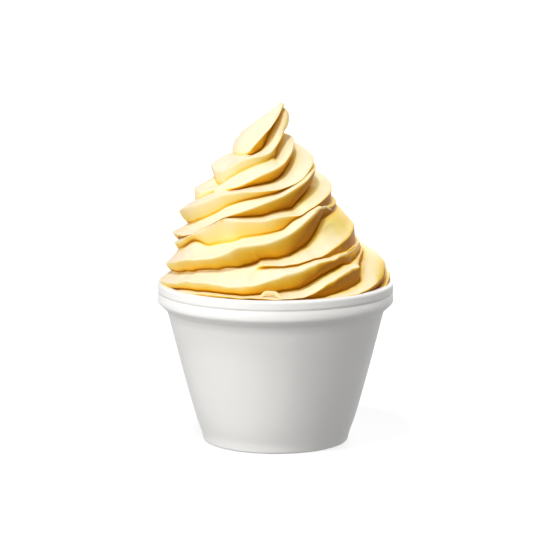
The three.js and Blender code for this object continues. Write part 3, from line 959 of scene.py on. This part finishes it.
        drop = (height - out_height).at_least(self.least_drop * MM)
        near = reach.at_most(out_reach)
        fold = fold * (near / (self.fold_reach * MM)).at_most(1.0)
        valley = (near - fold).at_least(near * self.least_valley)
        floor = height - share * drop
        rise, depth = height - floor, reach - valley
        tuck = (
            reach - steer("tuck_in", top_round) * depth,
            height - steer("tuck_down", top_round) * rise,
        )
        meet = (
            reach - steer("meet_in", top_round) * depth,
            height - steer("meet_down", top_round) * rise,
        )
        under_reach = bent(reach, tuck[0], meet[0], valley, along)
        under_height = bent(height, tuck[1], meet[1], floor, along)
        out, fall = out_reach - valley, floor - out_height
        leave = (
            valley + steer("leave_out", low_round) * out,
            floor - steer("leave_down", low_round) * fall,
        )
        arrive = (
            out_reach - steer("arrive_out", low_round) * out,
            out_height + steer("arrive_up", low_round) * fall,
        )
        over_reach = bent(valley, leave[0], arrive[0], out_reach, along)
        over_height = bent(floor, leave[1], arrive[1], out_height, along)
        straight = 0.5 * (part + along)
        radius = blended(
            blended(under_reach, over_reach, part), blended(reach, out_reach, straight), plain
        )
        level = blended(
            blended(under_height, over_height, part), blended(height, out_height, straight), plain
        )
        # A band of painted shade along each crease, deeper where the fold cuts in further.
        off_crease = blended(
            (1 - along) * (rise + depth), along * (out + fall) * self.crease_shade_pull, part
        )
        deep = (depth / (self.crease_shade_depth * MM)).at_most(1.0).at_least(self.least_crease_shade)
        crease = graph.spread(off_crease, 0.0, self.crease_shade_width * MM, self.crease_shade, 0.0)
        return radius, level, crease * (1 - plain) * deep

    def leaned(self, graph: Graph, level: Wire) -> Wire:
        """How far to the right the axis lies at a height.

        Args:
            graph: The tree's graph.
            level: The height.

        Returns:
            The distance, off a curve that takes and gives values from 0 to 1.
        """
        bottom = self.lean[0][0]
        stretch = self.lean[-1][0] - bottom
        shift = graph.add(
            "ShaderNodeFloatCurve", inputs={"Value": (level - bottom * MM) / (stretch * MM)}
        )
        curve = shift.socket.node.mapping
        curve.clip_min_y, curve.use_clip = -1.0, False
        knots = [((h - bottom) / stretch, x / self.lean_range + 0.5) for h, x in self.lean]
        for knot in knots[1:-1]:
            curve.curves[0].points.new(*knot)
        for point, knot in zip(curve.curves[0].points, knots):
            point.location = knot
        curve.update()
        return (shift - 0.5) * (self.lean_range * MM)

    def tree(self, guides: bpy.types.Object) -> ShapeTree:
        """The tree that lays the net between the crests and winds it round the axis.

        Args:
            guides: The crest guides.

        Returns:
            The tree, with its values set.
        """
        tree = ShapeTree("swirl surface")
        graph = tree.graph
        crest = graph.add(
            "GeometryNodeObjectInfo",
            inputs={"Object": tree.take("Crest guides", Surface.PIECE, guides)},
            output="Geometry",
        )
        lip = tree.take("Lip height", Surface.NUMBER, self.lip * MM)
        tip = tree.take("Tip height", Surface.NUMBER, self.tip * MM)
        widest = tree.take("Rim reach", Surface.NUMBER, self.rim_reach * MM)
        ripple = tree.take("Ripple size", Surface.NUMBER, self.ripple * MM)
        ripple_scale = tree.take("Ripple scale", Surface.NUMBER, self.ripple_scale)
        seed = tree.take("Seed", Surface.NUMBER, self.seed)
        sight = tree.take("Fold sight", Surface.NUMBER, self.fold_sight * MM)
        finish = tree.take("Finish", Surface.FINISH, self.finish)

        radius, level, crease = self.profile(tree, crest)
        lean = self.leaned(graph, level)
        bearing = tree.stored("bearing") + math.pi
        turn_x = graph.maths("COSINE", bearing, 0.0)
        turn_y = graph.maths("SINE", bearing, 0.0)
        wave_at = graph.vector(
            turn_x * radius, turn_y * radius, level * self.ripple_stretch + seed
        )
        calm = (radius / (self.ripple_reach * MM)).at_most(1.0)
        wave = graph.noise(wave_at, ripple_scale, 1.0)
        radius = radius + (wave - 0.5) * 2 * ripple * calm
        low, high = self.tuck_levels
        inside = graph.spread(level, low * MM, high * MM, self.tuck_depth * MM, 0.0)
        radius = radius.at_most(widest - inside - graph.maths("ABSOLUTE", lean, 0.0))
        apex = tree.stored("apex")
        radius = radius * (1 - apex)
        level = blended(level, tip, apex)
        lean = blended(lean, self.lean[-1][1] * MM, apex)
        place = graph.vector(lean + radius * turn_x, radius * turn_y, lip + level)
        shape = graph.add(
            "GeometryNodeSetPosition", inputs={"Geometry": tree.inlet("Shape"), "Position": place}
        )
        # Painted shade: less of it towards the back and more at the right of the front, added to the
        # shade from the lit side and the crease band.
        behind = graph.spread(
            radius * turn_y, self.front_depth * MM, self.back_depth * MM, 0.0, self.back_share
        )
        right = graph.spread(radius * turn_x, 0.0, self.right_reach * MM, 0.0, self.right_share)
        closed = self.lit_side_shade(graph, shape, sight) * (1 - behind) * (1 + right) + crease
        shape = graph.add(
            "GeometryNodeStoreNamedAttribute",
            {"data_type": "FLOAT", "domain": "POINT"},
            {"Geometry": shape, "Name": "closed", "Value": closed},
        )
        shape = graph.add(
            "GeometryNodeSetShadeSmooth", inputs={"Geometry": shape, "Shade Smooth": True}
        )
        tree.close(shape, finish)
        return tree

    def lit_side_shade(self, graph: Graph, shape: Wire, sight: Wire) -> Wire:
        """How little each point sees of the lit side, shown on the skin as painted shade; it isn't only
        how deep in a fold it lies.

        It is 0 where a point faces that side freely. It is 1 where a point lies deep in a fold, and
        also where it lies in the open and faces away.

        Args:
            graph: The tree's graph.
            shape: The wound surface.
            sight: How far each point looks.

        Returns:
            The share that it doesn't see of what lies on the lit side.
        """
        normal = graph.add("GeometryNodeInputNormal")
        gap = graph.arrow("SCALE", normal, self.look_gap * MM)
        start = graph.arrow("ADD", graph.add("GeometryNodeInputPosition"), gap)
        seen, whole = 0.0, 0.0
        lit_side = Vector(self.lit_side).normalized()
        for i in range(self.looks):
            rise = 1 - (2 * i + 1) / self.looks
            turn = i * GOLDEN_ANGLE
            flat = math.sqrt(1 - rise * rise)
            look = (flat * math.cos(turn), flat * math.sin(turn), rise)
            facing = lit_side.dot(look)
            if facing < self.least_facing:
                continue
            whole += facing ** self.focus
            faced = graph.arrow("DOT_PRODUCT", normal, look, "Value").at_least(0.0)
            weight = faced * facing ** (self.focus - 1)
            hit = graph.add(
                "GeometryNodeRaycast",
                inputs={
                    "Target Geometry": shape, "Source Position": start,
                    "Ray Direction": look, "Ray Length": sight,
                },
                output="Is Hit",
            )
            seen = weight * (1 - hit * (1 - hit.other("Hit Distance") / sight)) + seen
        return graph.add(
            "GeometryNodeBlurAttribute",
            {"data_type": "FLOAT"},
            {"Value": 1 - seen / whole, "Iterations": self.tone_blur},
        )

    def depths(self, guides: bpy.types.Object) -> np.ndarray:
        """How many rows each column needs to end below the lip.

        Args:
            guides: The crest guides.

        Returns:
            The rows of each column.
        """
        heights = np.array([v.co.z for v in guides.data.vertices]) / MM
        heights = heights.reshape(-1, self.columns)
        per = len(self.riser) + len(self.shelf)
        return ((heights > self.deepest).sum(axis=0) + 1) * per

    def build(self) -> bpy.types.Object:
        """Makes the swirl's mesh.

        Returns:
            The piece, not yet riding on anything.
        """
        guides = self.crests()
        tree = self.tree(guides)
        piece = tree.grown("yogurt_swirl", self.net(self.depths(guides)))
        bpy.data.objects.remove(guides)
        return self.settle(piece)

    def settle(self, piece: bpy.types.Object) -> bpy.types.Object:
        """Softens the mesh a little, points its faces outwards and closes it below."""
        mesh = piece.data
        body = bmesh.new()
        body.from_mesh(mesh)
        inner = [
            v for v in body.verts if not v.is_boundary and len(v.link_edges) < self.pole_edges
        ]
        bmesh.ops.smooth_vert(
            body, verts=inner, factor=self.softening,
            use_axis_x=True, use_axis_y=True, use_axis_z=True,
        )
        for shred in self.shreds:
            self.add_shred(body, shred)
        rim = [edge for edge in body.edges if edge.is_boundary]
        for level, reach in self.filling:
            made = bmesh.ops.extrude_edge_only(body, edges=rim)["geom"]
            rim = [part for part in made if isinstance(part, bmesh.types.BMEdge)]
            for vertex in {v for edge in rim for v in edge.verts}:
                flat = Vector((vertex.co.x, vertex.co.y, 0)).normalized() * reach * MM
                vertex.co = (flat.x, flat.y, level * MM)
        bmesh.ops.contextual_create(body, geom=rim)
        bmesh.ops.recalc_face_normals(body, faces=body.faces[:])
        body.to_mesh(mesh)
        body.free()
        return piece

    def add_shred(self, body: bmesh.types.BMesh, shred: Shred) -> None:
        """Adds one torn strip to the mesh, as a closed tube of flat section.

        Args:
            body: The swirl's mesh.
            shred: The strip.
        """
        (bearing, height, reach), taper = shred.strip(self.shred_steps)
        turn = np.radians(bearing + 180)
        outward = np.stack((np.cos(turn), np.sin(turn), 0 * turn), axis=1)
        line = outward * reach[:, None]
        line[:, 0] += np.interp(height, *np.array(self.lean).T)
        line[:, 2] = self.lip + height
        across = np.cross(np.gradient(line, axis=0), outward)
        across /= np.linalg.norm(across, axis=1)[:, None]
        rings = []
        tone = body.verts.layers.float["closed"]
        for middle, side, out, share in zip(line, across, outward, taper):
            angles = [i * math.tau / self.shred_sides for i in range(self.shred_sides)]
            rings.append([
                body.verts.new(MM * (
                    middle + share * 0.5 * (
                        side * shred.width * math.cos(a) + out * shred.thickness * math.sin(a)
                    )
                ))
                for a in angles
            ])
        # The strips get one even painted shade.
        for vert in itertools.chain(*rings):
            vert[tone] = self.shred_shade
        for low, high in zip(rings, rings[1:]):
            for i in range(self.shred_sides):
                corners = (low[i], low[i - 1], high[i - 1], high[i])
                body.faces.new(corners).smooth = True
        body.faces.new(rings[0])
        body.faces.new(rings[-1][::-1])

    def place(self) -> bpy.types.Object:
        """Builds the swirl and lets it stand for the part's frozen yogurt."""
        piece = self.build()
        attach(piece, BODY)
        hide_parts("frozen_yogurt")
        return piece


@dataclass
class FoamCup:
    """The tapered foam cup with its rolled lip, stacking band and ring foot."""

    finish: bpy.types.Material
    around: int = 256
    height: float = 72.0
    rim: float = 52.5
    foot: float = 32.6
    foot_corner: float = 1.2
    crease: float = 33.8
    crease_height: float = 5.4
    wall_top: float = 48.5
    wall_top_height: float = 59.3
    wall_bulge: float = 0.6
    wall: float = 2.8
    base: float = 3.4
    roll: float = 1.3
    lip_inner: float = 49.4
    bead_drop: float = 4.1
    groove: float = 0.35
    groove_width: float = 0.9
    band_drop: float = 9.1
    recess: float = 28.6
    recess_depth: float = 1.5
    recess_round: float = 0.6
    foot_round: float = 0.4
    lip_round: float = 0.5
    lip_depth: float = 3.0
    shoulder: float = 0.6
    floor_reach: float = 28.0
    floor_rise: float = 0.6
    wall_start: float = 2.5
    steps: int = 14

    @staticmethod
    def arc(x: float, z: float, radius: float, start: float, end: float, steps: int) -> list[Point]:
        """Points of an arc in the cup's section.

        Args:
            x: The centre's distance from the axis.
            z: The centre's height.
            radius: The arc's radius.
            start: The first angle in degrees.
            end: The last angle.
            steps: How many steps it takes.

        Returns:
            Its points.
        """
        turns = [math.radians(start + (end - start) * i / steps) for i in range(steps + 1)]
        return [(x + radius * math.cos(t), z + radius * math.sin(t)) for t in turns]

    def wall_at(self, share: float) -> Point:
        """A point of the outer wall, at a share of the way from crease to wall top."""
        bulge = self.wall_bulge * math.sin(math.pi * share ** 0.6)
        return (
            blended(self.crease, self.wall_top, share) + bulge,
            blended(self.crease_height, self.wall_top_height, share),
        )

    def section(self) -> list[Point]:
        """The outline that is turned round the axis, from the foot's middle outwards."""
        band_foot = self.height - self.band_drop
        bead = self.height - self.bead_drop
        wall = [self.wall_at(i / self.steps) for i in range(self.steps + 1)]
        top, edge, corner = self.recess_round, self.foot_round, self.foot_corner
        outline = [(0.0, self.recess_depth), (self.recess - top, self.recess_depth)]
        outline += self.arc(self.recess - top, self.recess_depth - top, top, 90, 0, steps=4)[1:]
        outline += [(self.recess, edge)]
        outline += self.arc(self.recess + edge, edge, edge, 180, 270, steps=4)[1:]
        outline += self.arc(self.foot - corner, corner, corner, -90, 0, steps=6)
        outline += [(self.crease - 0.25, self.crease_height - 0.7)]
        outline += [(self.crease - 0.05, self.crease_height - 0.15)]
        outline += wall
        outline += [
            (self.wall_top + self.shoulder, self.wall_top_height + 0.45),
            (self.rim - 0.9, band_foot - 0.75),
            (self.rim - 0.25, band_foot - 0.15),
            (self.rim, band_foot + 0.5),
            (self.rim, band_foot + 1.2),
            (self.rim, bead - self.groove_width),
            (self.rim - self.groove, bead - self.groove_width * 0.55),
            (self.rim - self.groove, bead - self.groove_width * 0.25),
            (self.rim, bead + 0.15),
            (self.rim, bead + 0.6),
        ]
        roll, inner = self.roll, self.lip_round
        outline += self.arc(self.rim - roll, self.height - roll, roll, 0, 90, steps=8)
        outline += self.arc(self.lip_inner + inner, self.height - inner, inner, 90, 180, steps=5)
        outline += [(self.lip_inner - 0.1, self.height - self.lip_depth)]
        outline += [(self.wall_top - self.wall, self.wall_top_height + 2.0)]
        inside = [(r - self.wall, z) for r, z in reversed(wall)]
        floor = self.recess_depth + self.base
        outline += [(r, z) for r, z in inside if z > floor + self.wall_start]
        outline += [(self.crease - self.wall - 1.0, floor + self.floor_rise)]
        outline += [(self.floor_reach, floor), (0.0, floor)]
        return outline

    def build(self) -> bpy.types.Object:
        """Turns the section round the axis into the cup's mesh.

        Returns:
            The piece, not yet riding on anything.
        """
        body = bmesh.new()
        outline = [(r * MM, z * MM) for r, z in self.section()]
        rings = []
        for radius, level in outline:
            count = 1 if radius == 0 else self.around
            rings.append([
                body.verts.new((
                    radius * math.cos(i * math.tau / self.around),
                    radius * math.sin(i * math.tau / self.around),
                    level,
                ))
                for i in range(count)
            ])
        for low, high in zip(rings, rings[1:]):
            for i in range(self.around):
                corners = [
                    low[i % len(low)], low[(i + 1) % len(low)],
                    high[(i + 1) % len(high)], high[i % len(high)],
                ]
                body.faces.new(list(dict.fromkeys(corners)))
        bmesh.ops.recalc_face_normals(body, faces=body.faces[:])
        for face in body.faces:
            face.smooth = True
        mesh = bpy.data.meshes.new("foam_cup")
        body.to_mesh(mesh)
        body.free()
        mesh.materials.append(self.finish)
        return shown("foam_cup", mesh)

    def place(self) -> bpy.types.Object:
        """Builds the cup and lets it stand for the part's cup."""
        piece = self.build()
        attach(piece, BODY)
        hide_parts("cup")
        return piece


@dataclass(frozen=True)
class Lamp:
    """One light, aimed at the object: far and small as a sun, or near and wide as a panel."""

    name: str
    bearing: float
    elevation: float
    strength: float
    spread: float
    distance: float = 0.0


@dataclass
class Studio:
    """The plain floor, the lights, the white surround and the camera."""

    floor_size: float = 8.0
    surround: float = 0.22
    backdrop: float = 1.0
    target: tuple[float, float, float] = (0.00196, 0.0, 0.07213)
    distance: float = 3.0 / 2.242
    elevation: float = 9.98
    lens_pixels: float = 3000.0
    frame_pixels: float = 560.0
    sensor: float = 36.0
    lamps_aim: float = 0.09
    sun_distance: float = 2.0
    floor_finish: PlainFinish = PlainFinish("pale floor", (0.35, 0.35, 0.35), 0.70)
    lamps: tuple[Lamp, ...] = (
        Lamp("key", -28.0, 67.0, 1.75, 8.0),
        Lamp("top panel", 115.0, 62.0, 8.0, 1.0, 2.0),
        Lamp("left panel", -46.0, 10.0, 24.0, 1.8, 1.8),
        Lamp("front panel", -10.0, 4.0, 9.0, 2.0, 2.4),
        Lamp("right panel", 90.0, 4.0, 9.0, 1.4, 2.2),
        Lamp("back panel", 160.0, 20.0, 24.0, 2.0, 2.4),
    )

    @staticmethod
    def towards(bearing: float, elevation: float) -> Vector:
        """The direction to a bearing, 0 in front and 90 at the right, and an elevation."""
        turn, tilt = math.radians(bearing), math.radians(elevation)
        return Vector((
            math.sin(turn) * math.cos(tilt), -math.cos(turn) * math.cos(tilt), math.sin(tilt)
        ))

    @staticmethod
    def aim(holder: bpy.types.Object, middle: Vector, away: Vector, distance: float) -> None:
        """Stands a light or the camera off from a middle, and turns it back towards that.

        Args:
            holder: The light's or the camera's object.
            middle: What it is aimed at.
            away: The direction from there to it.
            distance: How far off it stands.
        """
        holder.location = middle + away * distance
        holder.rotation_euler = away.to_track_quat("Z", "Y").to_euler()

    def lay_floor(self) -> None:
        """Lays the plain pale floor."""
        half = self.floor_size / 2
        mesh = bpy.data.meshes.new("floor")
        corners = [(-half, -half, 0), (half, -half, 0), (half, half, 0), (-half, half, 0)]
        mesh.from_pydata(corners, [], [(0, 1, 2, 3)])
        mesh.materials.append(self.floor_finish.make())
        floor = shown("floor", mesh)
        floor.visible_diffuse = False

    def hang_lamps(self) -> None:
        """Hangs the lights round the object."""
        middle = Vector((0, 0, self.lamps_aim))
        for lamp in self.lamps:
            near = lamp.distance > 0
            light = bpy.data.lights.new(lamp.name, "AREA" if near else "SUN")
            if near:
                light.shape, light.size = "DISK", lamp.spread
            else:
                light.angle = math.radians(lamp.spread)
            light.energy = lamp.strength
            away = self.towards(lamp.bearing, lamp.elevation)
            self.aim(shown(lamp.name, light), middle, away, lamp.distance or self.sun_distance)

    def light_surround(self) -> None:
        """Makes the surround white to the eye, and dimmer as a light."""
        world = bpy.data.worlds.new("surround")
        bpy.context.scene.world = world
        world.use_nodes = True
        graph = Graph(world.node_tree)
        seen = graph.add("ShaderNodeLightPath", output="Is Camera Ray")
        strength = blended(self.surround, self.backdrop, seen)
        light = graph.add(
            "ShaderNodeBackground", inputs={"Color": (1, 1, 1, 1), "Strength": strength}
        )
        graph.add("ShaderNodeOutputWorld", inputs={"Surface": light})

    def set_camera(self) -> None:
        """Sets the camera at the viewing angle."""
        camera = bpy.data.cameras.new("camera")
        camera.sensor_width = self.sensor
        camera.lens = self.sensor * self.lens_pixels / self.frame_pixels
        holder = shown("camera", camera)
        self.aim(holder, Vector(self.target), self.towards(0.0, self.elevation), self.distance)
        bpy.context.scene.camera = holder

    def place(self) -> None:
        """Sets the whole studio up."""
        self.lay_floor()
        self.hang_lamps()
        self.light_surround()
        self.set_camera()
        bpy.context.scene.view_settings.view_transform = "Standard"


def main() -> None:
    """Builds every piece in order and reports it."""
    logging.basicConfig(level=logging.INFO, format="%(name)s: %(message)s")
    for part in (FoamCup(FoamFinish().make()), Swirl(YogurtFinish().make())):
        piece = part.place()
        mesh = piece.data
        LOG.info("%s: %d points, %d faces", piece.name, len(mesh.vertices), len(mesh.polygons))
    Studio().place()


if __name__ == "__main__":
    main()
